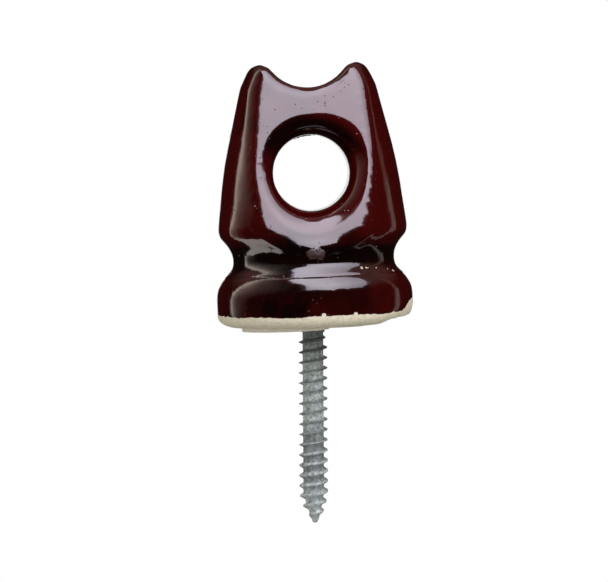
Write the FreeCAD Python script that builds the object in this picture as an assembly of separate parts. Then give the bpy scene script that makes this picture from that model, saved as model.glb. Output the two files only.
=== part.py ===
import FreeCAD, Part

# A screw-in fence insulator: a pressed and glazed porcelain body with a hole for the rope, a wire
# saddle between two horns and a waist groove, cemented onto a wood screw.
# Millimetres. +Z runs up the body's axis, the hole runs along Y, and the origin is the middle of
# the underside, the face that comes against the post.

import math
import os

from FreeCAD import Vector

X_AXIS = Vector(1, 0, 0)
Y_AXIS = Vector(0, 1, 0)
Z_AXIS = Vector(0, 0, 1)
ORIGIN = Vector(0, 0, 0)

# Porcelain body, turned outline. A "round" is the radius that eases a corner, and a "share" of a
# height is counted from the waist to the top.
base_radius = 20.4
foot_bevel = 1.9
foot_bevel_inner = 0.55
shoulder_round = 4.5
waist_radius = 16.7
waist_height = 13.5
waist_round = 3.7
groove_tilt_deg = 41.0
bulge_depth = 3.15
head_round = 3.9
head_middle_inset = 1.75
head_middle_share = 0.4784
head_middle_round = 100.0
horn_shoulder_inset = 5.75
horn_shoulder_drop = 4.45
horn_shoulder_round = 6.0
horn_top_inset = 8.0
body_height = 54.05

# Flat faces on the front and the back of the head, leaning in towards the top. At the waist's
# height their planes would pass it with a small gap, so they run out in the groove above it.
face_lean_deg = 15.0
face_waist_gap = 1.42
ridge_round = 3.0

# Rope hole through the two faces.
hole_radius = 7.85
hole_share = 0.4439
hole_rim_round = 2.9

# Saddle between the horns.
saddle_inset = 2.45
saddle_depth = 5.05
horn_round = 3.0
crown_round = 2.2

# Socket in the underside, and the cement that fills it.
socket_radius = 5.5
socket_depth = 18.0
overflow_length = 18.4
overflow_width = 16.0
overflow_thickness = 1.1
overflow_shift = -6.2
overflow_edge = 0.6

# Wood screw, set in the cement a little off the middle and out of true.
screw_shift = -0.6
screw_lean_deg = 1.55
screw_reach = 41.5
screw_embedded = 15.0
shank_radius = 2.45
shank_showing = 1.6
thread_radius = 3.0
core_radius = 2.15
thread_pitch = 2.14
crest_width = 0.2
flank_width = 0.5
runout_length = 0.9
point_length = 5.2
point_radius = 0.55
point_start = 1.2
steps_per_turn = 12
fade_turns = 0.75
thread_buried = 0.35
thread_start_share = 0.02

# Sizes that follow from those above.
head_radius = waist_radius + bulge_depth
head_middle_height = waist_height + head_middle_share * (body_height - waist_height)
horn_top_radius = head_radius - horn_top_inset
saddle_radius = horn_top_radius - saddle_inset
hole_height = waist_height + hole_share * (body_height - waist_height)


def bench(x, z):
    """A point of an outline drawn in the XZ plane."""
    return Vector(x, 0, z)


def rounded_outline(corners):
    """A closed wire through corners (x, z, round), each eased by an arc that meets both its sides."""
    starts, edges = [], []
    count = len(corners)
    for i, (x, z, ease) in enumerate(corners):
        corner = bench(x, z)
        back = bench(*corners[i - 1][:2]) - corner
        ahead = bench(*corners[(i + 1) % count][:2]) - corner
        back.normalize()
        ahead.normalize()
        half = back.getAngle(ahead) / 2
        if ease == 0:
            starts.append((corner, corner))
            continue
        middle = back + ahead
        middle.normalize()
        enter = corner + back * (ease / math.tan(half))
        leave = corner + ahead * (ease / math.tan(half))
        crest = corner + middle * (ease / math.sin(half) - ease)
        edges.append(Part.Arc(enter, crest, leave).toShape())
        starts.append((enter, leave))
    for i in range(count):
        run = Part.LineSegment(starts[i - 1][1], starts[i][0])
        if run.length() > 1e-6:
            edges.append(run.toShape())
    return Part.Wire(Part.__sortEdges__(edges))


def turned(corners):
    """The solid that an outline in the XZ plane makes when it is turned about Z."""
    return Part.Face(rounded_outline(corners)).revolve(ORIGIN, Z_AXIS, 360)


def fillet_where(solid, size, wanted):
    """Round the edges of a solid that the test picks."""
    return solid.makeFillet(size, [edge for edge in solid.Edges if wanted(edge)])


def face_reach_at(height):
    """How far the front face stands from the axis at a height."""
    lean = math.tan(math.radians(face_lean_deg))
    return waist_radius + face_waist_gap - (height - waist_height) * lean


def on_head_face(point):
    """Whether a point lies on the plane of the front or the back face."""
    return abs(abs(point.y) - face_reach_at(point.z)) < 0.01


def body_blank():
    """The turned form: foot, shoulder, waist groove, bulge and head, up to the horns' level."""
    tilt = math.radians(groove_tilt_deg)
    groove_corner = waist_radius - waist_round * (1 / math.cos(tilt) - 1)
    shoulder_height = waist_height - (base_radius - groove_corner) / math.tan(tilt)
    bulge_height = waist_height + (head_radius - groove_corner) / math.tan(tilt)
    return turned([
        (0, 0, 0),
        (base_radius - foot_bevel, 0, 0),
        (base_radius - foot_bevel_inner, foot_bevel_inner, 0),
        (base_radius, foot_bevel, 0),
        (base_radius, shoulder_height, shoulder_round),
        (groove_corner, waist_height, waist_round),
        (head_radius, bulge_height, head_round),
        (head_radius - head_middle_inset, head_middle_height, head_middle_round),
        (head_radius - horn_shoulder_inset, body_height - horn_shoulder_drop, horn_shoulder_round),
        (horn_top_radius, body_height, 0),
        (0, body_height, 0),
    ])


def beyond_face(side):
    """What the front (side -1) or back (side 1) face takes off the blank, above the waist."""
    top = body_height + 1
    far = base_radius + 5
    corners = [
        Vector(-far, side * face_reach_at(waist_height), waist_height),
        Vector(-far, side * face_reach_at(top), top),
        Vector(-far, side * far, top),
        Vector(-far, side * far, waist_height),
    ]
    return Part.Face(Part.makePolygon(corners + corners[:1])).extrude(X_AXIS * (2 * far))


def crown():
    """Where the saddle's arc and the horns' rounds have their middles, and where they meet."""
    trough_height = body_height - saddle_depth + saddle_radius
    horn_height = body_height - horn_round
    reach = saddle_radius + horn_round
    horn_x = math.sqrt(reach ** 2 - (trough_height - horn_height) ** 2)
    meet_x = horn_x * saddle_radius / reach
    return trough_height, horn_height, horn_x, meet_x


def crown_height(x):
    """Height of the saddle and of the horns' rounds at a distance from the middle."""
    trough_height, horn_height, horn_x, meet_x = crown()
    if abs(x) >= horn_x:
        return body_height
    if abs(x) > meet_x:
        return horn_height + math.sqrt(horn_round ** 2 - (abs(x) - horn_x) ** 2)
    return trough_height - math.sqrt(saddle_radius ** 2 - x ** 2)


def above_crown():
    """What the saddle takes off: a trough front to back that runs out over each horn in a round."""
    trough_height, horn_height, horn_x, meet_x = crown()
    half_x = (horn_x + meet_x) / 2
    top = body_height + 2

    def level(x):
        return bench(x, crown_height(x))

    edges = [
        Part.LineSegment(bench(horn_x, top), level(horn_x)),
        Part.Arc(level(horn_x), level(half_x), level(meet_x)),
        Part.Arc(level(meet_x), level(0), level(-meet_x)),
        Part.Arc(level(-meet_x), level(-half_x), level(-horn_x)),
        Part.LineSegment(level(-horn_x), bench(-horn_x, top)),
        Part.LineSegment(bench(-horn_x, top), bench(horn_x, top)),
    ]
    outline = Part.Wire([edge.toShape() for edge in edges])
    trough = Part.Face(outline).extrude(Y_AXIS * (2 * base_radius))
    return trough.translated(Y_AXIS * -base_radius)


def is_ridge(edge):
    """An edge where a leaning face meets the turned side of the head."""
    return all(on_head_face(point) for point in edge.discretize(3)) and edge.BoundBox.ZMax < body_height


def is_crown_edge(edge):
    """An edge round the top, where the saddle and the horns meet the sides of the head."""
    along_y = edge.BoundBox.XLength < 0.001
    return not along_y and all(abs(p.z - crown_height(p.x)) < 0.01 for p in edge.discretize(5))


def is_hole_rim(edge):
    """An edge where the rope hole comes out through a leaning face."""
    around = all(
        abs(math.hypot(p.x, p.z - hole_height) - hole_radius) < 0.01 for p in edge.discretize(5)
    )
    return around and not isinstance(edge.Curve, Part.Line)


def porcelain_body():
    """The one-piece body: turned blank, two leaning faces, saddle, rope hole and screw socket."""
    body = body_blank()
    for side in (-1, 1):
        body = body.cut(beyond_face(side))
    body = fillet_where(body, ridge_round, is_ridge)
    body = body.cut(above_crown())
    body = fillet_where(body, crown_round, is_crown_edge)
    hole = Part.makeCylinder(hole_radius, 4 * base_radius, bench(0, hole_height), Y_AXIS)
    body = body.cut(hole.translated(Y_AXIS * (-2 * base_radius)))
    body = fillet_where(body, hole_rim_round, is_hole_rim)
    return body.cut(Part.makeCylinder(socket_radius, socket_depth))


def set_like_screw(shape):
    """Stand a shape made on the Z axis where the screw stands in the cement, with the screw's lean."""
    leaning = shape.rotated(ORIGIN, Y_AXIS, screw_lean_deg)
    return leaning.translated(X_AXIS * screw_shift)


def cement_overflow():
    """The low skin of cement that spread from the socket over the underside, mostly to one side."""
    ellipse = Part.Ellipse(ORIGIN, overflow_length / 2, overflow_width / 2)
    skin = Part.Face(Part.Wire(ellipse.toShape())).extrude(Z_AXIS * -overflow_thickness)
    skin = skin.makeChamfer(overflow_edge, [
        edge for edge in skin.Edges if edge.BoundBox.ZMax < -overflow_thickness / 2
    ])
    return skin.translated(X_AXIS * overflow_shift)


def setting_cement():
    """The cement that fills the socket round the screw's shank, with its overflow."""
    plug = Part.makeCylinder(socket_radius, socket_depth)
    cement = plug.fuse(cement_overflow())
    shank_length = screw_embedded + 2 * overflow_thickness
    shank = Part.makeCylinder(shank_radius, shank_length, Z_AXIS * (-2 * overflow_thickness))
    return cement.cut(set_like_screw(shank))


def around_screw(radius, height, step):
    """A point beside the screw's axis, at a step of the thread's turn."""
    turn = 2 * math.pi * step / steps_per_turn
    return Vector(radius * math.cos(turn), radius * math.sin(turn), height)


def core_at(height):
    """Radius of the screw's core at a height: even, then narrowing to the point."""
    above_tip = height + screw_reach
    if above_tip >= point_length:
        return core_radius
    return point_radius + (core_radius - point_radius) * above_tip / point_length


def thread_section(step, last_step):
    """The thread's section at one step, a ridge whose foot is buried in the core."""
    height = point_start - screw_reach + step * thread_pitch / steps_per_turn
    fade = fade_turns * steps_per_turn
    grown = max(thread_start_share, min(1, step / fade, (last_step - step) / fade))
    core = core_at(height)
    depth = (thread_radius - core_radius) * grown
    spread = flank_width * (depth + thread_buried) / (thread_radius - core_radius)
    half_crest = crest_width / 2
    half_foot = half_crest + spread
    return [
        around_screw(core - thread_buried, height - half_foot, step),
        around_screw(core + depth, height - half_crest, step),
        around_screw(core + depth, height + half_crest, step),
        around_screw(core - thread_buried, height + half_foot, step),
    ]


def triangle(a, b, c):
    return Part.Face(Part.makePolygon([a, b, c, a]))


def thread_ridge():
    """The right-hand thread as one closed ridge, in flat facets from step to step of its turn."""
    run = screw_reach - shank_showing - point_start - runout_length
    last_step = int(run / thread_pitch * steps_per_turn)
    sections = [thread_section(step, last_step) for step in range(last_step + 1)]
    faces = []
    for low, high in zip(sections, sections[1:]):
        for i in range(len(low)):
            j = (i + 1) % len(low)
            faces.append(triangle(low[i], low[j], high[j]))
            faces.append(triangle(low[i], high[j], high[i]))
    for end in (sections[0], sections[-1]):
        faces.append(triangle(end[0], end[1], end[2]))
        faces.append(triangle(end[0], end[2], end[3]))
    skin = Part.Compound(faces)
    skin.sewShape()
    ridge = Part.Solid(skin if skin.ShapeType == "Shell" else skin.Shells[0])
    return ridge if ridge.Volume > 0 else ridge.reversed()


def core_ring(radius, height):
    """The many-sided outline of the core at a height, with a corner at each step of the thread."""
    corners = [around_screw(radius, height, step) for step in range(steps_per_turn)]
    return Part.makePolygon(corners + corners[:1])


def wood_screw():
    """The wood screw: a plain shank in the cement, then a threaded core down to a blunt point."""
    core = Part.makeLoft([
        core_ring(point_radius, -screw_reach),
        core_ring(core_radius, point_length - screw_reach),
        core_ring(core_radius, -shank_showing),
    ], True, True)
    shank_length = screw_embedded + shank_showing
    shank = Part.makeCylinder(shank_radius, shank_length, Z_AXIS * -shank_showing)
    return set_like_screw(shank.fuse(core).fuse(thread_ridge()))


def build():
    os.makedirs("parts", exist_ok=True)
    pieces = {
        "porcelain_body": porcelain_body(),
        "setting_cement": setting_cement(),
        "wood_screw": wood_screw(),
    }
    for name, shape in pieces.items():
        shape.exportStep(f"parts/{name}.step")
        print(name, shape.isValid(), len(shape.Solids), round(shape.Volume, 1), len(shape.Faces))


build()
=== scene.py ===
# %% [markdown]
# # A screw-in fence insulator
#
# The object is a lump of porcelain, glazed dark oxblood brown, with a hole for a fence rope, a
# saddle between two horns and a groove round its waist. It is cemented onto a zinc-coated wood
# screw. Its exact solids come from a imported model. This script gives them their surface: the
# moulded porcelain, its glaze, the bare foot, the cement and the screw's thread.

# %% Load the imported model
import math
import bpy
import bmesh
import numpy as np
from mathutils import Matrix, Vector, noise


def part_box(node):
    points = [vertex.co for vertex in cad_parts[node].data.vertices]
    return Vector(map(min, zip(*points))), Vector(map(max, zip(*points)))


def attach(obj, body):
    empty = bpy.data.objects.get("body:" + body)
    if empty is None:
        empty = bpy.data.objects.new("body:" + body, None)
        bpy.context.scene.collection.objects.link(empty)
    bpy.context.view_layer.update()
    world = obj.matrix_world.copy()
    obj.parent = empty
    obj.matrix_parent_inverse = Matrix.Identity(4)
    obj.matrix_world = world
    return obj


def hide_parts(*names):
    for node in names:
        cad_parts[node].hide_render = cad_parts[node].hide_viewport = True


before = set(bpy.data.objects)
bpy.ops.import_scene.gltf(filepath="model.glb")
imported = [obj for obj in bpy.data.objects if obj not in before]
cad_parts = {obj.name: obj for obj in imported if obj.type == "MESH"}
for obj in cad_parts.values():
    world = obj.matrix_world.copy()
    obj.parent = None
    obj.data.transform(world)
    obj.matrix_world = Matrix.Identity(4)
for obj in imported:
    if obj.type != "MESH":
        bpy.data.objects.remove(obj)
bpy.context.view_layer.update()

MM = 0.001
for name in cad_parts:
    low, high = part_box(name)
    print(name, [round((b - a) / MM, 1) for a, b in zip(low, high)], "mm")

# %% [markdown]
# ## The camera
#
# The photograph was taken with the camera level with the rope hole and about an arm's length
# away: the near and the far mouth of the hole lie almost on one another. The object stands a
# little askew in the picture, so the camera is rolled and not the object. A long lens keeps the
# outline from swelling towards the camera.

# %% Set up the camera
hole_height = 31.5 * MM
camera_distance = 600 * MM
camera_left = 8.0 * MM
picture_width, millimetres_per_pixel = 608, 0.2078
sensor_width, nearest_seen = 36, 0.01
roll = math.radians(1.9)
aim = Vector((-2.2, 0, 6.95)) * MM


def new_object(label, data):
    """A new object in the scene, with its mesh or camera."""
    made = bpy.data.objects.new(label, data)
    bpy.context.scene.collection.objects.link(made)
    return made


camera_data = bpy.data.cameras.new("camera")
camera = new_object("camera", camera_data)
bpy.context.scene.camera = camera
camera.location = (-camera_left, -camera_distance, hole_height)
ahead = (aim - camera.location).normalized()
level = ahead.cross(Vector((0, 0, 1))).normalized()
upright = level.cross(ahead)
right = level * math.cos(roll) - upright * math.sin(roll)
up = level * math.sin(roll) + upright * math.cos(roll)
camera.rotation_euler = Matrix((right, up, -ahead)).transposed().to_euler()
view_width = picture_width * millimetres_per_pixel * MM
camera_data.sensor_width = sensor_width
camera_data.lens = sensor_width * camera_distance / view_width
camera_data.clip_start = nearest_seen
print("lens", round(camera_data.lens, 1), "mm")

# %% [markdown]
# ## Nodes that read like arithmetic
#
# Every finish below is a graph of shader nodes, which could be drawn by hand in the node editor.
# In a script each node takes a line to make and one more for each setting and link, and that
# hides the idea behind them. So these helpers make a node, fill its inputs and give back its
# output, and the next node takes that output as an input of its own.

# %% Add a node and fill its inputs
def set_inputs(tree, node, inputs):
    """Give inputs, by name or number, a plain value each or a link to another node's output."""
    for key, value in inputs.items():
        if isinstance(value, bpy.types.NodeSocket):
            tree.links.new(value, node.inputs[key])
        else:
            node.inputs[key].default_value = value


def add_node(tree, kind, *in_order, **values):
    """A new node. A value is an input if its name has a capital, and a setting if not."""
    node = tree.nodes.new(kind)
    inputs = dict(enumerate(in_order))
    for key, value in values.items():
        if key[0].isupper():
            inputs[key.replace("_", " ")] = value
        else:
            setattr(node, key, value)
    set_inputs(tree, node, inputs)
    return node


def calculate(tree, operation, *values, **settings):
    """The output of a math node, with its inputs in order."""
    return add_node(tree, "ShaderNodeMath", *values, operation=operation, **settings).outputs["Value"]


def calculate_vector(tree, operation, *values, result="Vector", **inputs):
    """An output of a vector math node, with its inputs in order."""
    node = add_node(tree, "ShaderNodeVectorMath", *values, operation=operation, **inputs)
    return node.outputs[result]


print("helpers that add and fill a node are ready")

# %% Turn one value into another
def ramp(tree, value, start, end, low=0.0, high=1.0, kind="SMOOTHSTEP"):
    """Low up to the start and high from the end on, with a gentle or an even slope between."""
    node = add_node(tree, "ShaderNodeMapRange", interpolation_type=kind, Value=value,
                    From_Min=start, From_Max=end, To_Min=low, To_Max=high)
    return node.outputs["Result"]


def float_curve(tree, value, points):
    """The output of a curve through (value, result) points."""
    node = add_node(tree, "ShaderNodeFloatCurve", Value=value)
    line = node.mapping.curves[0]
    for i, place in enumerate(points):
        point = line.points[i] if i < 2 else line.points.new(*place)
        point.location = place
    node.mapping.update()
    return node.outputs["Value"]


print("ramps and curves are ready")

# %% [markdown]
# ## The studio
#
# Glaze shows its surroundings like a dark mirror, so the studio is planned by what it reflects:
# one wide sheet of lit diffusion paper bent round the front and the top, narrower ones on both
# sides and low down, and darkness in between. A sheet is a piece of a large sphere round the
# object, set out by compass angle and height angle, which puts its edges where the photograph
# shows them in the glaze. A flat lamp would do too, but its edges can't follow both the ridges
# and the foot.

# %% Bend a grid round the object
stage_middle = Vector((0, 0, 0.03))
sheet_distance = 0.9
sheet_columns, sheet_rows = 32, 24


def from_middle(azimuth, elevation, distance):
    """A point at a compass angle (0 is towards the camera, 90 to the right) and a height angle."""
    a, e = math.radians(azimuth), math.radians(elevation)
    flat = math.cos(e) * distance
    return stage_middle + Vector((math.sin(a) * flat, -math.cos(a) * flat, math.sin(e) * distance))


def bent_mesh(label, outline):
    """A sheet's mesh, from rows of (elevation, left and right azimuth), with a flat map on it."""
    stations = np.array(outline, float)
    points, faces = [], []
    for j in range(sheet_rows + 1):
        elevation = stations[0, 0] + (stations[-1, 0] - stations[0, 0]) * j / sheet_rows
        left_edge = np.interp(elevation, stations[:, 0], stations[:, 1])
        right_edge = np.interp(elevation, stations[:, 0], stations[:, 2])
        for i in range(sheet_columns + 1):
            azimuth = left_edge + (right_edge - left_edge) * i / sheet_columns
            points.append(from_middle(azimuth, elevation, sheet_distance))
    row = sheet_columns + 1
    for j in range(sheet_rows):
        for i in range(sheet_columns):
            corner = j * row + i
            faces.append((corner, corner + 1, corner + row + 1, corner + row))
    bent = bpy.data.meshes.new(label)
    bent.from_pydata(points, [], faces)
    uv = bent.uv_layers.new(name="sheet")
    for loop in bent.loops:
        v = loop.vertex_index
        uv.data[loop.index].uv = (v % row / sheet_columns, v // row / sheet_rows)
    return bent


print("a sheet has", sheet_columns * sheet_rows, "faces,", sheet_distance, "m from the object")

# %% Light a sheet
foot_end, full_start = 0.08, 0.3


def paper_glow(label, colour, strength, profile, foot_share):
    """The glow of a sheet: its profile across, and dimmed by foot_share up to its foot's end."""
    paper = bpy.data.materials.new(label)
    paper.use_nodes = True
    tree = paper.node_tree
    tree.nodes.clear()
    flat_map = add_node(tree, "ShaderNodeUVMap").outputs["UV"]
    sides = add_node(tree, "ShaderNodeSeparateXYZ", Vector=flat_map).outputs
    across = float_curve(tree, sides["X"], profile)
    climb = ramp(tree, sides["Y"], foot_end, full_start, strength * foot_share, strength)
    total = calculate(tree, "MULTIPLY", across, climb)
    glow = add_node(tree, "ShaderNodeEmission", Color=(*colour, 1), Strength=total)
    add_node(tree, "ShaderNodeOutputMaterial", Surface=glow.outputs["Emission"])
    return paper


def lit_sheet(label, outline, colour, strength, profile, foot_share=1.0):
    """A sheet that glows towards the object, from rows of (elevation, left and right azimuth).

    The profile lists (share of the way across, share of the strength) from left to right, and
    foot_share dims the sheet's lowest part.
    """
    sheet = new_object(label, bent_mesh(label, outline))
    sheet.data.materials.append(paper_glow(label, colour, strength, profile, foot_share))
    sheet.visible_camera = False
    sheet.visible_shadow = False
    print(label, "from", outline[0], "to", outline[-1], "degrees")
    return sheet


even = [(0, 0.6), (0.04, 1), (0.96, 1), (1, 0.6)]
falling = [(0, 0.55), (0.05, 0.95), (0.1, 1), (0.4, 1), (0.6, 0.85), (0.8, 0.68), (1, 0.5)]
front_outline = [(24, -8, 58), (32, -9, 74), (45, -12, 82), (57, -36, 86), (70, -66, 90), (81, -75, 95)]
lit_sheet("front_sheet", front_outline, (0.93, 0.85, 0.98), 4.4, falling, foot_share=0.84)

# %% Hang the sheets at the sides and low down
left_outline = [(-27, -116, -88), (0, -116, -86), (12, -116, -50), (28, -116, -18), (48, -115, -22),
                (58, -114, -48), (70, -113, -69), (75, -112, -72)]
low_outline = [(-64, -117, -66), (-44, -117, -70), (-30, -117, -98), (-27, -117, -100)]
right_outline = [(-20, 103, 114), (8, 108, 119)]
upper_outline = [(8, 106, 118), (60, 106, 116)]
right_low_outline = [(-56, 96, 104), (-20, 103, 113)]
table_outline = [(-64, -35, 62), (-59, -35, 62)]
one_sided = [(0, 0), (0.04, 0.9), (0.07, 1), (0.12, 0.72), (0.17, 0.52), (0.25, 0.3), (0.4, 0.15),
             (0.6, 0.07), (0.8, 0.03), (1, 0)]
ridged = [(0, 0), (0.4, 1), (0.6, 1), (1, 0)]
lit_sheet("left_sheet", left_outline, (1.0, 0.84, 0.74), 1.9, one_sided, foot_share=0.7)
lit_sheet("low_sheet", low_outline, (1.0, 0.9, 0.86), 1.3, even)
lit_sheet("right_sheet", right_outline, (1.0, 0.82, 0.74), 0.45, ridged)
lit_sheet("right_upper_sheet", upper_outline, (1.0, 0.6, 0.5), 0.28, ridged)
lit_sheet("right_low_sheet", right_low_outline, (1.0, 0.85, 0.78), 0.45, ridged)
lit_sheet("table_sheet", table_outline, (1.0, 0.95, 1.0), 0.5, even)

# %% [markdown]
# The clay, the cement and the zinc are dull, and dull surfaces want light from all round to show
# the tone that their colour is written in. The world could give it, but the glaze would mirror
# it. So one broad low sheet in front and a weaker one at the back fill in. Both stand behind the
# other sheets and are kept out of reflections, because the glaze in the photograph shows none.

# %% Fill in the dull surfaces
fill_outline = [(-36, -105, 112), (22, -105, 112)]
back_fill_outline = [(-36, 122, 238), (22, 122, 238)]
fill_colour, fill_scale = (1.0, 0.98, 0.95), 1.1
fill_strength, back_fill_strength = 1.15, 0.9
for fill in (
    lit_sheet("fill_sheet", fill_outline, fill_colour, fill_strength, even),
    lit_sheet("back_fill_sheet", back_fill_outline, fill_colour, back_fill_strength, even),
):
    fill.scale = (fill_scale, fill_scale, fill_scale)
    fill.visible_glossy = False

# %% [markdown]
# The background is white and the object's surroundings are dark. A white wall behind the object
# would do it, but would light it too. So the world is white only to the camera and to
# reflections that run on past the object towards the backdrop, and dark towards the camera's
# side, where a studio has its black curtain, with a faint reddish haze overhead.

# %% Build the world
backdrop_starts, backdrop_full = 0.97, 0.99
haze_starts, haze_full = 0.3, 0.75
haze_below, haze_above = 0.012, 0.25

world = bpy.data.worlds.new("studio")
bpy.context.scene.world = world
world.use_nodes = True
tree = world.node_tree
tree.nodes.clear()
direction = add_node(tree, "ShaderNodeTexCoord").outputs["Generated"]
sides = add_node(tree, "ShaderNodeSeparateXYZ", Vector=direction).outputs
behind = ramp(tree, sides["Y"], backdrop_starts, backdrop_full)
seen = add_node(tree, "ShaderNodeLightPath").outputs["Is Camera Ray"]
white = calculate(tree, "MAXIMUM", behind, seen)
haze = ramp(tree, sides["Z"], haze_starts, haze_full, haze_below, haze_above)
room = add_node(tree, "ShaderNodeBackground", Color=(1, 0.55, 0.5, 1), Strength=haze)
backdrop = add_node(tree, "ShaderNodeBackground", Color=(1, 1, 1, 1))
mixed = add_node(tree, "ShaderNodeMixShader", white, room.outputs[0], backdrop.outputs[0])
add_node(tree, "ShaderNodeOutputWorld", Surface=mixed.outputs["Shader"])
print("world with", len(tree.nodes), "nodes")

# %% [markdown]
# The floor is a pale round table below the screw's point. It keeps the object's soft shadow and
# fades out into the white by its own alpha. A shadow catcher would need a transparent film, and
# here the white behind the object comes from the world.

# %% Lay the floor
floor_level = -95 * MM
floor_reach = 0.07
table_radius, fade_starts, fade_ends = floor_reach * 1.6, floor_reach * 0.5, floor_reach * 1.5
floor_glow = 0.85


def new_material(label, inputs):
    """A new material, its node tree and its Principled node with some inputs filled."""
    made = bpy.data.materials.new(label)
    made.use_nodes = True
    principled = made.node_tree.nodes["Principled BSDF"]
    set_inputs(made.node_tree, principled, inputs)
    return made, made.node_tree, principled


floor = new_object("floor", bpy.data.meshes.new("floor"))
floor.location = (0, 0, floor_level)
table = bmesh.new()
bmesh.ops.create_circle(table, cap_ends=True, segments=96, radius=table_radius)
table.to_mesh(floor.data)
table.free()
material, tree, paint = new_material("floor", {
    "Base Color": (0.18, 0.18, 0.18, 1), "Roughness": 0.9, "Emission Color": (1, 1, 1, 1),
})
seen = add_node(tree, "ShaderNodeLightPath").outputs["Is Camera Ray"]
away = calculate_vector(tree, "LENGTH", add_node(tree, "ShaderNodeTexCoord").outputs["Object"],
                        result="Value")
set_inputs(tree, paint, {
    "Emission Strength": calculate(tree, "MULTIPLY", seen, floor_glow),
    "Alpha": ramp(tree, away, fade_starts, fade_ends, 1, 0),
})
floor.data.materials.append(material)
print("floor", round(floor_level / MM), "mm below the foot")

# %% [markdown]
# ## An even skin for the moulded pieces
#
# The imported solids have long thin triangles, which are exact but shade unevenly under gloss. A
# moulded piece needs small even faces. Remeshing a copy in voxels gives those, a few rounds of
# smoothing take out the voxels' steps, and one subdivision makes the skin fine enough to carve.

# %% Copy a solid with an even skin
def even_skin(node, label, voxel, rounds):
    """A copy of a CAD node with even, smooth faces, as a new object and its points as an array."""
    copy = new_object(label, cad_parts[node].data.copy())
    copy.data.materials.clear()
    remesh = copy.modifiers.new("even", "REMESH")
    remesh.mode = "VOXEL"
    remesh.voxel_size = voxel
    smooth = copy.modifiers.new("smooth", "SMOOTH")
    smooth.factor = 0.5
    smooth.iterations = rounds
    finer = copy.modifiers.new("finer", "SUBSURF")
    finer.levels = 1
    finer.render_levels = 1
    ready = copy.evaluated_get(bpy.context.evaluated_depsgraph_get())
    skin_mesh = bpy.data.meshes.new_from_object(ready)
    copy.modifiers.clear()
    copy.data = skin_mesh
    skin_mesh.name = label
    skin_mesh.shade_smooth()
    points = np.empty(len(skin_mesh.vertices) * 3)
    skin_mesh.vertices.foreach_get("co", points)
    print(label, len(skin_mesh.polygons), "faces")
    return copy, points.reshape(-1, 3)


porcelain, clay = even_skin("porcelain_body", "porcelain", voxel=0.74 * MM, rounds=4)

# %% [markdown]
# ## The hole's rims
#
# In the die the rim round of the rope hole was turned about the hole, so its outer edge is a
# circle on the leaning face. That makes the round wide below the hole and tight above it. A
# bevel would give one width all round, as the solid has it. So a point of the skin that lies
# outside the wanted arc is moved onto it, seen in the plane through the point and the hole's axis.

# %% Roll the rims over
hole_radius, face_at_hole, face_lean = 7.85, 13.3, math.radians(15)
rim_top, rim_left, rim_right, rim_bottom = 3.5, 3.1, 4.7, 6.7
extra_at_upper_right = 1.5
almost_nothing = 1e-6


def put_back(piece, points):
    """Give a piece the points that were worked out for it."""
    piece.data.vertices.foreach_set("co", points.ravel())
    piece.data.update()


place = clay / MM
rise = place[:, 2] - hole_height / MM
hole_reach = np.hypot(place[:, 0], rise)
safe_reach = np.maximum(hole_reach, almost_nothing)
sine = rise / safe_reach
slope = -sine * math.tan(face_lean)
rim_side = (rim_left + rim_right) / 2 + (rim_right - rim_left) / 2 * place[:, 0] / safe_reach
rim = rim_side + (np.where(sine > 0, rim_top, rim_bottom) - rim_side) * sine ** 2
rim += extra_at_upper_right * np.clip(place[:, 0] / safe_reach, 0, 1) * np.clip(sine, 0, 1)
arc_reach = hole_radius + rim
arc_depth = face_at_hole + slope * arc_reach - rim * np.sqrt(1 + slope ** 2)
outward, forward = hole_reach - arc_reach, np.abs(place[:, 1]) - arc_depth
from_arc = np.hypot(outward, forward)
outside_arc = (forward > 0) & (outward + slope * forward < 0) & (from_arc > rim)
new_reach = np.where(outside_arc, arc_reach + rim * outward / from_arc, hole_reach)
new_depth = np.where(outside_arc, arc_depth + rim * forward / from_arc, np.abs(place[:, 1]))
place[:, 0] *= new_reach / safe_reach
place[:, 2] = hole_height / MM + rise * new_reach / safe_reach
place[:, 1] = np.sign(place[:, 1]) * new_depth
clay = place * MM
put_back(porcelain, clay)
print("points moved onto the rims", int(outside_arc.sum()))

# %% [markdown]
# ## The pressed porcelain
#
# Damp clay was pressed in a two-part steel die, trimmed with a knife and fired. So no face is
# quite true: it swells and sinks by a few hundredths of a millimetre, which is what breaks up
# the edges of the reflections. Noise that is looked up at each point of the skin moves it in and
# out along its own direction. A displacement modifier could do the same from a texture, but
# here the seam and the knocks want to be worked out in the same place.

# %% Press the clay a little out of true
wave_size, wave_depth = 7 * MM, 0.055
grain_size, grain_depth = 2.4 * MM, 0.016


def point_normals(piece):
    """The direction that each point of a piece faces."""
    normals = np.empty(len(piece.data.vertices) * 3)
    piece.data.vertices.foreach_get("normal", normals)
    return normals.reshape(-1, 3)


def swell(points, size, seed):
    """Smooth noise from -1 to 1 at each point, with bumps of a given size in metres."""
    shift = Vector((seed * 7.3, seed * 3.1, seed * 5.7))
    return np.array([noise.noise(Vector(p) / size + shift) for p in points])


facing = point_normals(porcelain)
waves = swell(clay, wave_size, seed=1)
grain = swell(clay, grain_size, seed=2)
bumps = wave_depth * waves + grain_depth * grain
print("clay swells by", round(float(np.abs(bumps).max()), 3), "mm at most")

# %% [markdown]
# The die left its marks. A crease runs round the top of the shoulder, where the foot's ring met
# the upper die. In the groove, at the middle of the front, a fin of clay was trimmed with a
# knife and left rough, with the line of the seam above it. The clay swells at the fin's root, at
# the front and at the back. Each mark could be sculpted by hand. Here each is a smooth bell in
# the right place, in millimetres, because a number is easier to compare with the photograph and
# to change.

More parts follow.
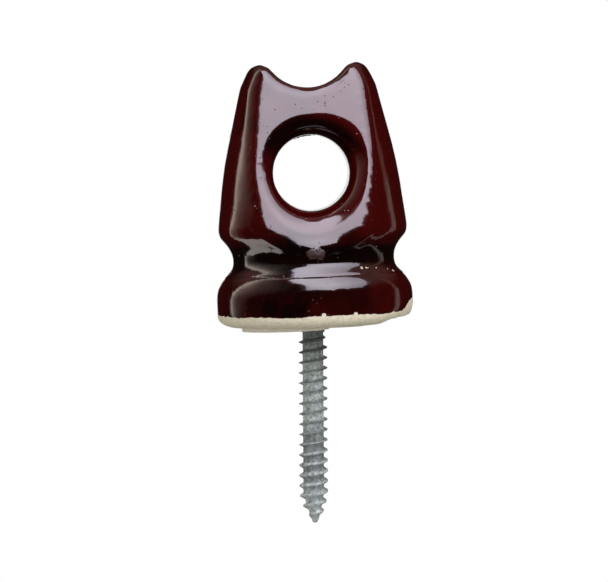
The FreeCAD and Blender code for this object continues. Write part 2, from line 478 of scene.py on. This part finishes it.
# %% Press the crease, the fin and the seam into it
crease_height, crease_wander, crease_width, crease_depth = 9.9, 0.15, 0.22, 0.10
crease_from_hole = 15
fin_x, fin_z, fin_reach_x, fin_reach_z, fin_from_axis = 0.4, 14.9, 1.9, 1.1, 14
fin_height, fin_roughness, fin_grain = 0.3, 0.45, 0.6 * MM
root_x, root_z, root_reach_x, root_reach_z, root_from_axis = 0.7, 15.9, 4.4, 1.4, 12
root_height, root_fullness = 0.3, 2.4
seam_x, seam_wander, seam_width, seam_height = 0.45, 0.1, 0.16, 0.035
seam_low, seam_top, seam_from_axis = 12, 24, 8


def bell(distance, width):
    """1 at no distance, falling smoothly to nothing about twice the width away."""
    return np.exp(-(distance / width) ** 2)


x, y, z = (clay / MM).T
front = y < 0
towards_y = np.abs(y)
crease_z = crease_height + crease_wander * waves
bumps -= crease_depth * bell(z - crease_z, crease_width) * (hole_reach > crease_from_hole)
fin = bell(x - fin_x, fin_reach_x) * bell(z - fin_z, fin_reach_z) * front * (towards_y > fin_from_axis)
bumps += fin * (fin_height + fin_roughness * swell(clay, fin_grain, seed=9))
root = np.minimum(root_fullness * bell(x - root_x, root_reach_x), 1)
bumps += root_height * bell(z - root_z, root_reach_z) * root * (towards_y > root_from_axis)
seam = bell(x - seam_x - seam_wander * waves, seam_width) * (z > seam_low) * (z < seam_top)
seam = seam * front * (towards_y > seam_from_axis)
bumps += seam_height * seam
print("fin and seam move", int((fin + seam > 0.1).sum()), "points at the front")

# %% [markdown]
# A small nib of clay stands on the left side of the head, and a rag of flash hangs in the top of
# the hole, where the two pins that made it met. They could be small pieces of their own, but the
# glaze runs over both without an edge, so they are raised from the same skin.

# %% Add the nib and the flash
nib_x, nib_z, nib_size, nib_height = -16.9, 39.9, 0.45, 0.3
flash_low, flash_left, flash_right = 37, -3.4, 1.2
flash_y, flash_length, flash_thickness, flash_height = 1.0, 0.4, 0.5, 0.22
rag_size, rag_middle, rag_contrast = 0.8 * MM, 0.4, 2.2

nib = bell(np.sqrt((x - nib_x) ** 2 + y ** 2 + (z - nib_z) ** 2), nib_size)
bumps += nib_height * nib
flash = bell(hole_reach - hole_radius, flash_length) * bell(y - flash_y, flash_thickness)
flash = flash * (z > flash_low) * (x > flash_left) * (x < flash_right)
rags = np.clip(rag_middle + rag_contrast * swell(clay, rag_size, seed=12), 0, 1)
bumps += flash_height * flash * rags
print("nib and flash move", int((nib + flash > 0.1).sum()), "points")

# %% [markdown]
# On the real object the groove is a little deeper at the sides than in the solid, the shoulder
# below it is fuller, and the faces run out gently below the hole's rims. All three are slow
# changes of a few tenths of a millimetre, which show only in the reflections, so the skin is
# moved by them too.

# %% Shape the flanks and let the faces run out
side_starts, side_width = 0.75, 0.2
shoulder_z, shoulder_reach, shoulder_fuller = 10.2, 1.0, 0.22
groove_z, groove_reach, groove_deeper = 16.9, 1.7, 0.36
run_out_from, run_out_lower, run_out_right = 13.6, 2.3, 0.6
right_scale, left_limit = 6, -0.3
face_from_y, face_ease_y, face_from_z, face_ease_z = 9, 5, 13.5, 2.5
below_from, below_ease = 0.35, 0.3
run_out_bend, run_out_most = 40, 0.35


def step(value, start, width):
    """0 up to the start, then rising evenly to 1 over the width."""
    return np.clip((value - start) / width, 0, 1)


from_axis = np.hypot(x, y)
at_side = step(np.abs(x) / np.maximum(from_axis, almost_nothing), side_starts, side_width)
fuller = shoulder_fuller * bell(z - shoulder_z, shoulder_reach)
deeper = groove_deeper * bell(z - groove_z, groove_reach)
bumps += at_side * (fuller - deeper)
down = np.clip(-sine, 0, 1)
lower = run_out_lower * down ** 8
further_right = run_out_right * np.clip(x / right_scale, left_limit, 1)
below_rim = np.maximum(hole_reach - run_out_from - lower - further_right, 0)
on_face = step(towards_y, face_from_y, face_ease_y) * step(z, face_from_z, face_ease_z)
on_face = on_face * step(down, below_from, below_ease)
run_out = on_face * np.minimum(below_rim ** 2 / run_out_bend, run_out_most)
bumps -= run_out
clay = clay + facing * (bumps * MM)[:, None]
print("the faces run out by", round(float(run_out.max()), 2), "mm at most")

# %% [markdown]
# ## The worn foot and the ledge
#
# The underside is worn away towards the right, with a lump left in it and a chip at the corner,
# and its edge is rubbed in all round. A Boolean cut would leave a clean knife edge, so the points
# below a crumbly floor are lifted onto it. The ledge above the foot stands higher at the front
# and back than the turned shape of the solid, and is raised there.

# %% Wear the foot down and raise the ledge
wear_from_x, wear_width, wear_height, wear_from_axis, wear_ease = 9.0, 6.0, 1.15, 14, 3
chip_from_x, chip_width, chip_height = 15.5, 4, 0.4
lump_x, lump_reach, lump_height, lump_from_axis, lump_ease = 13.0, 2.2, 0.6, 17, 2
crumb_size, crumb_height = 1.3 * MM, 0.25
rub_share, rub_height, rub_from_axis, rub_ease = 0.034, 2.0, 16, 3
ledge_z, ledge_reach, ledge_raised, ledge_from_y, ledge_ease = 10.0, 3.2, 0.7, 6, 10

worn = step(x, wear_from_x, wear_width) * step(from_axis, wear_from_axis, wear_ease)
lump = bell(x - lump_x, lump_reach) * front * step(from_axis, lump_from_axis, lump_ease)
chipped = step(x, chip_from_x, chip_width)
crumbs = crumb_height * swell(clay, crumb_size, seed=14)
floor_of_foot = (wear_height * worn + chip_height * chipped - lump_height * lump + crumbs * worn) * MM
clay[:, 2] = np.maximum(clay[:, 2], floor_of_foot)
above_floor = clay[:, 2] / MM - floor_of_foot / MM
near_floor = np.clip(1 - above_floor / (rub_height + chipped), 0, 1)
rubbed = step(from_axis, rub_from_axis, rub_ease) * near_floor ** 2
clay[:, :2] *= (1 - rub_share * rubbed)[:, None]
towards_face = step(towards_y, ledge_from_y, ledge_ease)
raised = bell(z - ledge_z, ledge_reach) * towards_face ** 2 * (3 - 2 * towards_face)
clay[:, 2] += ledge_raised * raised * MM
put_back(porcelain, clay)
print("foot worn up to", round(float(floor_of_foot.max() / MM), 2), "mm")

# %% [markdown]
# ## The glaze and the bare foot
#
# The glaze is iron-red and almost black where it lies thick, and goes warmer and browner on the
# ridges where it ran thin. Painted shade darkens it further in the groove and in the top of the
# hole's mouth. It stops in an uneven line above the foot, because the piece stood on its wiped
# foot in the kiln. Both surfaces are one material, since they are one piece of porcelain: masks
# with noise in them pick bare clay, scars, specks and painted highlights. An image could be
# painted for that, but noise needs no picture and has no seams. The masks are node groups, which
# keep each one's nodes together, and the specks and the spot are used several times over.

# %% Group: specks and pits
def new_group(label, **inputs):
    """A node group that gives a mask, with a Vector and other inputs, each with a start value."""
    group = bpy.data.node_groups.new(label, "ShaderNodeTree")
    for key, value in {"Vector": (0, 0, 0), **inputs}.items():
        kind = "NodeSocketVector" if isinstance(value, tuple) else "NodeSocketFloat"
        socket = group.interface.new_socket(key, in_out="INPUT", socket_type=kind)
        socket.default_value = value
    group.interface.new_socket("Mask", in_out="OUTPUT", socket_type="NodeSocketFloat")
    return group, add_node(group, "NodeGroupInput").outputs


specks, given = new_group("specks", Size=1.0, Amount=0.1, Spread=0.3)
cells = add_node(specks, "ShaderNodeTexVoronoi", feature="F1", Vector=given["Vector"],
                 Scale=calculate(specks, "DIVIDE", 1.0, given["Size"])).outputs
near_middle = ramp(specks, cells["Distance"], 0.0, given["Spread"], 1.0, 0.0)
draw = add_node(specks, "ShaderNodeSeparateColor", Color=cells["Color"]).outputs["Red"]
picked = calculate(specks, "LESS_THAN", draw, given["Amount"])
add_node(specks, "NodeGroupOutput", Mask=calculate(specks, "MULTIPLY", near_middle, picked))
print("group", specks.name, "with", len(specks.nodes), "nodes")

# %% Group: one spot with a ragged edge
spot_solid, spot_gone = 1.3, 1.65


def noise_at(tree, position, **values):
    """A noise texture's value at a position in millimetres."""
    return add_node(tree, "ShaderNodeTexNoise", Vector=position, **values).outputs["Fac"]


spot, given = new_group("spot", Centre=(0, 0, 0), Radius=1.0)
distance = calculate_vector(spot, "DISTANCE", given["Vector"], given["Centre"], result="Value")
share = calculate(spot, "DIVIDE", distance, given["Radius"])
edge = calculate(spot, "ADD", share, noise_at(spot, given["Vector"], Scale=1.7, Detail=3.0))
add_node(spot, "NodeGroupOutput", Mask=ramp(spot, edge, spot_solid, spot_gone, 1.0, 0.0))
print("group", spot.name, "with", len(spot.nodes), "nodes")

# %% Group: the line where the glaze stops
glaze_line_height, glaze_edge = 2.15, 0.08
corner_start, corner_end, corner_rise = 17.4, 20.3, 2.4
slow_swing, quick_swing = 1.2, 0.7

glaze_line, given = new_group("glaze_line")
sides = add_node(glaze_line, "ShaderNodeSeparateXYZ", Vector=given["Vector"]).outputs
slow = noise_at(glaze_line, given["Vector"], Scale=0.12, Detail=2.0)
quick = noise_at(glaze_line, given["Vector"], Scale=0.9, Detail=3.0)
slow_line = calculate(glaze_line, "MULTIPLY_ADD", slow, slow_swing, glaze_line_height - slow_swing / 2)
quick_line = calculate(glaze_line, "MULTIPLY_ADD", quick, quick_swing, slow_line)
at_corner = ramp(glaze_line, sides["X"], corner_start, corner_end, 0.0, corner_rise)
line_height = calculate(glaze_line, "ADD", quick_line, at_corner)
above = calculate(glaze_line, "SUBTRACT", sides["Z"], line_height)
add_node(glaze_line, "NodeGroupOutput", Mask=ramp(glaze_line, above, -glaze_edge, glaze_edge, 1.0, 0.0))
print("glaze stops about", glaze_line_height, "mm above the foot")

# %% [markdown]
# The glaze's tone is clouded. Painted shade darkens it in the groove at the waist, where little
# light reaches, and it is somewhat darker below the groove than above it. Painted light makes it
# warmer and lighter away from the middle, where the sides get less light. One could paint that as
# vertex colours. Here a curve by height, a slow noise and the distance from the middle are added
# up instead, because each of them can be compared with the photograph by itself.

# %% Start the glaze and cloud it
tone_height = 55
least_lit_x, painted_light_rate, height_lift = -2.5, 0.0012, 0.5
# Painted shade: this curve darkens the glaze in the groove at the waist, and somewhat below it.
painted_shade_curve = [(0, 0.75), (0.17, 0.75), (0.22, 0.5), (0.25, 0.14), (0.28, 0.14), (0.298, 0.6),
                  (0.33, 0.9), (0.36, 1), (1, 1)]


def place_in_mm(tree):
    """Where the shaded point lies in its piece's own frame, in millimetres."""
    position = add_node(tree, "ShaderNodeTexCoord").outputs["Object"]
    return calculate_vector(tree, "SCALE", position, Scale=1 / MM)


glaze, tree, skin = new_material("brown_glaze", {"IOR": 1.9})
at = place_in_mm(tree)
sides = add_node(tree, "ShaderNodeSeparateXYZ", Vector=at).outputs
painted_shade_by_height = float_curve(tree, calculate(tree, "DIVIDE", sides["Z"], tone_height), painted_shade_curve)
cloud = noise_at(tree, at, Scale=0.16, Detail=3.0, Roughness=0.6)
# Painted light: the glaze is warmed and lightened away from the middle, where the sides get less light.
painted_light_aside = calculate(tree, "POWER", calculate(tree, "ADD", sides["X"], -least_lit_x), 2)
cloud_and_painted_light = calculate(tree, "MULTIPLY_ADD", painted_light_aside, painted_light_rate, cloud)
lifted = calculate(tree, "MULTIPLY_ADD", painted_shade_by_height, height_lift, cloud_and_painted_light)
print("tone in the groove", min(tone for _, tone in painted_shade_curve))

# %% [markdown]
# Painted shade darkens the upper half of the hole's mouth, which faces down inside the bore, and
# painted light lightens and warms its lower lip, which faces up. Both are masks by the distance
# from the hole's axis and by height. The dark and the warm tone are then mixed by all of this,
# and the ridges, where the glaze drew back, show it at its thinnest: Pointiness tells how sharply
# the surface is bent.

# %% Paint shade in the mouth, paint light on the lip and thin the ridges
glaze_dark = (0.0022, 0.0002, 0.0002, 1)
glaze_warm = (0.032, 0.0009, 0.0007, 1)
glaze_thin = (0.08, 0.010, 0.004, 1)
mouth_ends, face_starts = 10.2, 12.8
mouth_darkens, mouth_darkest, mouth_shade_tone = 32.5, 38.5, 0.05
lip_full, lip_ends, lip_light_amount = 24.0, 31.0, 0.45
darkest_cloud, warmest_cloud = 0.825, 1.225
ridge_starts, ridge_full, ridge_share = 0.57, 0.7, 0.4

beside_hole = calculate_vector(tree, "MULTIPLY_ADD", at, (1, 0, 1), (0, 0, -hole_height / MM))
from_hole = calculate_vector(tree, "LENGTH", beside_hole, result="Value")
off_mouth = ramp(tree, from_hole, mouth_ends, face_starts)
# Painted shade in the top of the hole's mouth.
mouth_painted_shade = ramp(tree, sides["Z"], mouth_darkens, mouth_darkest, 1.0, mouth_shade_tone)
mouth_shade_factor = calculate(tree, "MAXIMUM", off_mouth, mouth_painted_shade)
# Painted light on the hole's lower lip, which faces up.
low_half_light = ramp(tree, sides["Z"], lip_full, lip_ends, lip_light_amount, 0.0)
lip_painted_light = calculate(tree, "SUBTRACT", low_half_light, calculate(tree, "MULTIPLY", low_half_light, off_mouth))
warmed = calculate(tree, "ADD", lip_painted_light, lifted)
warmth = ramp(tree, warmed, darkest_cloud, warmest_cloud, kind="LINEAR")
toned = calculate(tree, "MULTIPLY", calculate(tree, "MULTIPLY", warmth, painted_shade_by_height), mouth_shade_factor,
                  use_clamp=True)


def blend(tree, share, first, second):
    """The colour that goes from the first to the second with the share."""
    node = add_node(tree, "ShaderNodeMix", data_type="RGBA")
    set_inputs(tree, node, {0: share, 6: first, 7: second})
    return node.outputs[2]


thick = blend(tree, toned, glaze_dark, glaze_warm)
bend = add_node(tree, "ShaderNodeNewGeometry").outputs["Pointiness"]
thin = blend(tree, ramp(tree, bend, ridge_starts, ridge_full, 0.0, ridge_share), thick, glaze_thin)
print("the glaze's colour takes", len(tree.nodes), "nodes")

# %% [markdown]
# Where the fin was trimmed the glaze is dull and scarred. Knocks and kiln grit left a few small
# nicks, which show the bare clay as the foot does. The six pale spots on the ledge are painted
# highlights, small glints drawn in the bare clay's colour. A random scatter would look much the
# same from afar, but the photograph shows where each of them is, so they are placed one by one.

# %% Place the scars, nicks and painted highlights, and bare the foot
scar_colour = (0.045, 0.014, 0.013, 1)
bare_clay = (0.60, 0.57, 0.42, 1)
bare_dirt = (0.48, 0.45, 0.32, 1)
dirtiest_grit, cleanest_grit = 0.3, 0.55


def mask_of(tree, group, position, **values):
    """The mask that a group gives at a position."""
    return add_node(tree, "ShaderNodeGroup", node_tree=group, Vector=position, **values).outputs["Mask"]


def spots(tree, position, places):
    """One mask for several spots, given as (x, y, z, radius) in millimetres."""
    masks = [mask_of(tree, spot, position, Centre=centre, Radius=size) for *centre, size in places]
    total = masks[0]
    for mask in masks[1:]:
        total = calculate(tree, "MAXIMUM", total, mask)
    return total


trimmed = spots(tree, at, [(-0.5, -17.7, 14.7, 1.2), (1.0, -17.7, 14.6, 1.25)])
nicks_and_glints = spots(tree, at, [
    (0.3, -13.9, 23.0, 0.25), (1.4, -20.3, 2.75, 0.45), (7.9, -18.8, 2.55, 0.5),
    # The six spots from here on, on the ledge, are painted highlights: small glints in the bare clay's
    # colour.
    (9.5, -14.7, 11.87, 0.29), (10.5, -14.0, 11.88, 0.23), (10.9, -13.7, 11.88, 0.13),
    (12.6, -12.2, 11.78, 0.16), (15.0, -9.3, 11.27, 0.17), (16.2, -7.9, 10.88, 0.27),
])
scarred = blend(tree, trimmed, thin, scar_colour)
# This mask holds the bare clay and also the painted highlights on the ledge.
bare_and_glints = calculate(tree, "MAXIMUM", mask_of(tree, glaze_line, at), nicks_and_glints)
grit = noise_at(tree, at, Scale=1.6, Detail=4.0)
cleanness = ramp(tree, grit, dirtiest_grit, cleanest_grit, kind="LINEAR")
clay_colour = blend(tree, cleanness, bare_dirt, bare_clay)
surface = blend(tree, bare_and_glints, scarred, clay_colour)
print("with scars, nicks and foot it takes", len(tree.nodes), "nodes")

# %% [markdown]
# Fine pale specks lie thinly over the whole glaze. The glaze is a glass and mirrors sharply, the
# trimmed patch is dull and the bare clay duller still, so the roughness follows the same masks as
# the colour. A second material on the dull faces would do that too, but its edge would follow
# the faces and not the noise.

# %% Speckle the glaze and set its gloss
star_colour = (0.55, 0.42, 0.4, 1)
scar_dullness = 0.8
glossy, matt = 0.1, 0.8

stars = mask_of(tree, specks, at, Size=3.1, Amount=0.3, Spread=0.05)
dullness = calculate(tree, "MULTIPLY_ADD", trimmed, scar_dullness, bare_and_glints)
set_inputs(tree, skin, {
    "Base Color": blend(tree, stars, surface, star_colour),
    "Roughness": ramp(tree, dullness, 0.0, 1.0, glossy, matt, kind="LINEAR"),
})
print("roughness from", glossy, "on the glaze to", matt, "on the clay")

# %% [markdown]
# Up close the glaze ripples like water in a light wind, and there are pits in it where gas broke
# through: a few wide ones all over and fine ones in patches. They are about a tenth of a
# millimetre deep at most, so they are bump in the material, which bends the light and leaves the
# shape alone. Anything that shows in the outline is in the mesh.

# %% Ripple and pit the glaze
ripple_height, torn_height, pit_depth, fine_pit_depth = 0.010, 0.22, 0.1, 0.06
patch_starts, patch_full = 0.48, 0.64


def add_bump(tree, node, height, strength, size):
    """Tilt a Principled node's normal by a height, which counts in steps of a size in metres."""
    bump = add_node(tree, "ShaderNodeBump", Strength=strength, Distance=size, Height=height)
    set_inputs(tree, node, {"Normal": bump.outputs["Normal"]})


ripple = noise_at(tree, at, Scale=0.7, Detail=2.0, Roughness=0.45)
relief = calculate(tree, "MULTIPLY", ripple, ripple_height)
torn = calculate(tree, "MULTIPLY", noise_at(tree, at, Scale=2.2, Detail=3.0), trimmed)
relief = calculate(tree, "MULTIPLY_ADD", torn, torn_height, relief)
pits = mask_of(tree, specks, at, Size=1.45, Amount=0.3, Spread=0.11)
relief = calculate(tree, "MULTIPLY_ADD", pits, -pit_depth, relief)
fine_pits = mask_of(tree, specks, at, Size=0.8, Amount=0.3, Spread=0.24)
patches = noise_at(tree, at, Scale=0.17, Detail=2.0)
pitted = ramp(tree, patches, patch_starts, patch_full, 0.0, -fine_pit_depth)
relief = calculate(tree, "MULTIPLY_ADD", fine_pits, pitted, relief)
add_bump(tree, skin, relief, strength=1.0, size=MM)

porcelain.data.materials.append(glaze)
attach(porcelain, "root")
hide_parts("porcelain_body")
print("glaze with", len(tree.nodes), "nodes")

# %% [markdown]
# ## The cement
#
# The screw was set in the socket with a pale cement, and what was pressed out spread over the
# underside as a thin skin. Its solid is right in size and place; the real skin's edge is ragged.
# A rough bump would leave that edge clean, so the points that show are moved by two noises, one
# coarse and one fine, and the skin is let down to the lower limit of its own box.

# %% Roughen the cement
coarse_size, coarse_depth = 3 * MM, 0.22 * MM
fine_size, fine_depth = 0.9 * MM, 0.08 * MM
let_down, kept_inside, fully_out = 0.4 * MM, 0.01 * MM, 0.3 * MM

cement, paste = even_skin("setting_cement", "cement", voxel=0.3 * MM, rounds=3)
ragged = coarse_depth * swell(paste, coarse_size, seed=5) + fine_depth * swell(paste, fine_size, seed=6)
shows = step(-paste[:, 2], 0, fully_out)
paste = paste + point_normals(cement) * (ragged * shows)[:, None]
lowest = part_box("setting_cement")[0][2] + kept_inside
paste[:, 2] = np.maximum(paste[:, 2] - let_down * shows, lowest)
put_back(cement, paste)
print("cement reaches", round(float(paste[:, 2].min()) / MM, 2), "mm")

# %% [markdown]
# Cement is matt and sandy. One noise between two pale tones makes the sand, and the same noise
# lifts the grains, so that tone and relief belong together. A picture of cement could be laid
# over it, but would have to be unwrapped round the ragged edge.

# %% Material: setting cement
cement_dark = (0.50, 0.46, 0.38, 1)
cement_pale = (0.70, 0.65, 0.55, 1)

mortar, tree, skin = new_material("cement", {"Roughness": 0.85})
sand = noise_at(tree, place_in_mm(tree), Scale=1.8, Detail=5.0)
set_inputs(tree, skin, {"Base Color": blend(tree, sand, cement_dark, cement_pale)})
add_bump(tree, skin, sand, strength=0.8, size=0.2 * MM)
cement.data.materials.append(mortar)
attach(cement, "root")
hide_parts("setting_cement")
print("cement with", len(tree.nodes), "nodes")

# %% [markdown]
# ## The wood screw
#
# The thread is one ridge that winds down the core, thin and sharp near the porcelain and fatter
# near the point, where the zinc gathered. A Screw modifier could wind a profile, but not one
# that changes on its way. Rings of points, stacked closer than the ridge is wide, make the whole
# screw: each point's distance from the axis depends on how far it stands from the ridge,
# measured along the screw at its own angle. Heights and radii here are in millimetres.

# %% Work out the thread
screw_tip, shank_end = -41.5, -1.6
core_radius, crest_radius, pitch = 2.15, 2.97, 2.14
point_length, point_radius, point_roundness = 6.2, 0.4, 0.8
thread_first, thread_last, thread_lag = screw_tip + 1.2, shank_end - 0.3, 0.42
thread_early, thread_start, thread_end = 0.4, 2.2, 1.4
ring_points, ring_step = 96, 0.075
sharp_crest, sharp_flank, flank_hollow = 0.07, 0.34, 1.25
fatter_below, fatter_ease, added_crest, added_flank = -24, 6, 0.13, 0.2


def core_at(z):
    """The core's radius at a height."""
    thickness = step(z, screw_tip, point_length) ** point_roundness
    return point_radius + (core_radius - point_radius) * thickness


def ridge_at(z, angle):
    """How far the thread stands out of the core, from 0 to 1."""
    turns = angle / (2 * math.pi)
    nearest = ((z - thread_first) / pitch - turns + thread_lag + 0.5) % 1 - 0.5
    away = np.abs(nearest) * pitch
    fatter = step(fatter_below - z, 0, fatter_ease)
    crest_half = sharp_crest + added_crest * fatter
    flank = sharp_flank + added_flank * fatter
    slope_up = np.clip(1 - (away - crest_half) / flank, 0, 1)
    started = step(z - thread_first + thread_early, 0, thread_start)
    ended = step(thread_last - z, 0, thread_end)
    return slope_up ** flank_hollow * started * ended


heights = np.arange(screw_tip, shank_end + 0.01, ring_step)
angles = np.arange(ring_points) * 2 * math.pi / ring_points
z, angle = np.meshgrid(heights, angles, indexing="ij")
ridge = ridge_at(z, angle)
print("thread of", round((thread_last - thread_first) / pitch, 1), "turns on", len(heights), "rings")

# %% Stack the rings
shank_radius, shank_start = 2.45, 0.35
screw_top, shank_rings = 15.0, (shank_end + 0.4, 4.0)


def ring(radii, height):
    """A ring of points round the axis, with one radius for all of them or one for each."""
    return [Vector((r * math.cos(a), r * math.sin(a), height))
            for r, a in zip(np.broadcast_to(radii, ring_points), angles)]


shank = step(z, shank_end - shank_start, shank_start)
radius = np.maximum(core_at(z) + (crest_radius - core_radius) * ridge, shank_radius * shank)
cap_radii = np.array([0.25, 0.5, 0.75, 0.93]) * point_radius
cap_heights = screw_tip + np.array([0.01, 0.04, 0.1, 0.2])
above_cap = heights > cap_heights[-1]
cap = [ring(r, h) for r, h in zip(cap_radii, cap_heights)]
threaded = [ring(r, h) for r, h in zip(radius[above_cap], heights[above_cap])]
plain = [ring(shank_radius, h) for h in (*shank_rings, screw_top)]
rows = cap + threaded + plain
faces = []
for j in range(len(rows) - 1):
    for i in range(ring_points):
        k = (i + 1) % ring_points
        a, b = j * ring_points, (j + 1) * ring_points
        faces.append((a + i, a + k, b + k, b + i))
faces.append(tuple(reversed(range(ring_points))))
faces.append(tuple((len(rows) - 1) * ring_points + i for i in range(ring_points)))
mesh = bpy.data.meshes.new("screw")
mesh.from_pydata([p * MM for row in rows for p in row], [], faces)
print("screw", len(mesh.polygons), "faces")

# %% [markdown]
# The zinc is darker near the porcelain, partly darker steel and partly painted shade from the foot
# above it. Painted shade also darkens the sharp crests and the hollows lower down. Only the shape
# knows where its crests and hollows are, so this darkening is worked out here for each point and
# kept in the mesh as an attribute, which the material reads. The point is bent a little to the
# right, and the whole screw leans and stands left of the middle, as it was set.

# %% Paint shade and stain on the screw and set it askew
screw_shift, screw_lean = -0.6 * MM, math.radians(1.55)
tip_bend, bend_starts, bend_length = 0.25 * MM, -36, 4
top_shade_and_stain, top_from, top_ease = 0.75, -10, 7
crest_shade, crests_from, crests_ease = 0.5, -26, 5
hollow_shade, hollows_top, hollows_top_ease, hollows_from, hollows_ease = 0.55, -20, 4, -38, 6
darkening_most = 0.85

# Near the porcelain the darkening is partly darker steel and partly painted shade; on the crests and in
# the hollows it is painted shade.
lower_part = step(hollows_top - z, 0, hollows_top_ease) * step(z, hollows_from, hollows_ease)
shade_on_crests = crest_shade * ridge * step(z, crests_from, crests_ease)
shade_and_stain = top_shade_and_stain * step(z, top_from, top_ease) + shade_on_crests + hollow_shade * (1 - ridge) * lower_part
shade_and_stain_values = np.concatenate([
    np.zeros(len(cap) * ring_points), shade_and_stain[above_cap].ravel(), np.ones(len(plain) * ring_points),
])
for vertex in mesh.vertices:
    vertex.co.x += tip_bend * min(max((bend_starts - vertex.co.z / MM) / bend_length, 0), 1)
mesh.transform(Matrix.Translation((screw_shift, 0, 0)) @ Matrix.Rotation(screw_lean, 4, "Y"))
mesh.shade_smooth()
attribute = mesh.attributes.new("shade_and_stain", "FLOAT", "POINT")
attribute.data.foreach_set("value", np.clip(shade_and_stain_values, 0, darkening_most))
screw = new_object("screw", mesh)
print("mean stain", round(float(shade_and_stain.mean()), 2))

# %% [markdown]
# Zinc that was dipped on is a dull, cloudy grey, and here it is darkened by painted shade and some
# stain. A bright metal would mirror the dark studio and turn black, so it is only partly metallic.
# One noise gives its clouds, its gloss and its grain, since all three come from the same crystals.

# %% Material: zinc-coated steel
zinc_dark = (0.14, 0.175, 0.17, 1)
zinc_pale = (0.66, 0.75, 0.735, 1)
# The colour of the painted shade and the stain on the zinc.
zinc_shade_and_stain = (0.035, 0.042, 0.042, 1)
darkest_bloom, palest_bloom = 0.3, 0.62
zinc_smooth, zinc_rough = 0.38, 0.62

zinc, tree, skin = new_material("zinc_steel", {"Metallic": 0.4})
bloom = noise_at(tree, place_in_mm(tree), Scale=1.4, Detail=5.0, Roughness=0.65)
paleness = ramp(tree, bloom, darkest_bloom, palest_bloom, kind="LINEAR")
tint = blend(tree, paleness, zinc_dark, zinc_pale)
# The attribute holds painted shade, with some stain near the porcelain.
shade_and_stain_mask = add_node(tree, "ShaderNodeAttribute", attribute_name="shade_and_stain").outputs["Fac"]
set_inputs(tree, skin, {
    "Base Color": blend(tree, shade_and_stain_mask, tint, zinc_shade_and_stain),
    "Roughness": ramp(tree, bloom, 0.0, 1.0, zinc_smooth, zinc_rough, kind="LINEAR"),
})
add_bump(tree, skin, bloom, strength=0.7, size=0.2 * MM)
screw.data.materials.append(zinc)
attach(screw, "root")
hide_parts("wood_screw")
print("zinc with", len(tree.nodes), "nodes")

# %% [markdown]
# ## The view
#
# The view transform is Standard, which shows colours as written.

# %% Set the view transform
bpy.context.scene.view_settings.view_transform = "Standard"
